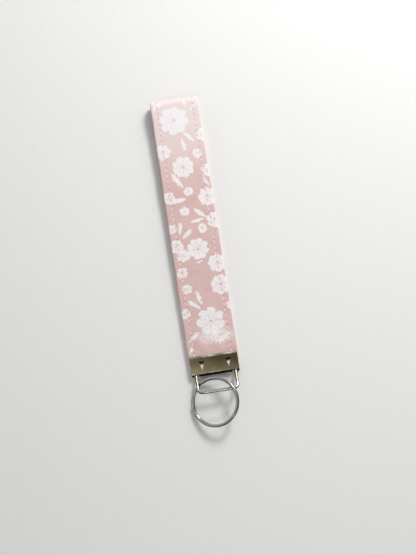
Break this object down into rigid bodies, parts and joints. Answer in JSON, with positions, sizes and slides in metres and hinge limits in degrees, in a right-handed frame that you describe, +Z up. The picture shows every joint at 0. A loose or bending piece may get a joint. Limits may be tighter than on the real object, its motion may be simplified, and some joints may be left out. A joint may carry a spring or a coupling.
{
  "type": "wristlet keychain",
  "caption": "Fabric wrist strap folded into a flat loop, crimped in a stamped metal clamp that holds a wire bail and a split ring for keys.",
  "frame": {"origin": "on the strap's flat underside, halfway along the visible loop and halfway across the strap", "axes": "+Y from the split ring to the folded end of the strap, +X across the strap, +Z up from the surface it lies on"},
  "size_m": [0.036, 0.2282, 0.0134],
  "materials": {
    "printed_cotton": "plain-weave cotton, blush pink with a white blossom print",
    "webbing": "woven natural webbing",
    "thread": "pale pink polyester thread",
    "nickel_plate": "polished nickel-plated steel sheet",
    "nickel_wire": "polished nickel-plated steel wire",
    "ring_steel": "polished nickel-plated spring steel"
  },
  "bodies": {
    "strap": {"strap_cover": "printed_cotton", "strap_webbing": "webbing", "stitch_row_left": "thread", "stitch_row_right": "thread"},
    "clamp": {"clamp": "nickel_plate", "strap_end_cover": "printed_cotton", "strap_end_webbing": "webbing"},
    "bail": {"bail": "nickel_wire"},
    "split_ring": {"split_ring": "ring_steel"}
  },
  "joints": [
    {"name": "strap_flex", "type": "hinge", "parent": "strap", "child": "clamp", "pos_m": [0, -0.08786, 0.0024], "axis": [-1, 0, 0], "range_deg": [-60, 60]},
    {"name": "bail_swing", "type": "hinge", "parent": "clamp", "child": "bail", "pos_m": [0, -0.10159, 0.0024], "axis": [-1, 0, 0], "range_deg": [-99, 7]},
    {"name": "ring_swing", "type": "hinge", "parent": "bail", "child": "split_ring", "pos_m": [0, -0.11457, 0.00839], "axis": [-1, 0, 0], "range_deg": [0, 100]}
  ]
}
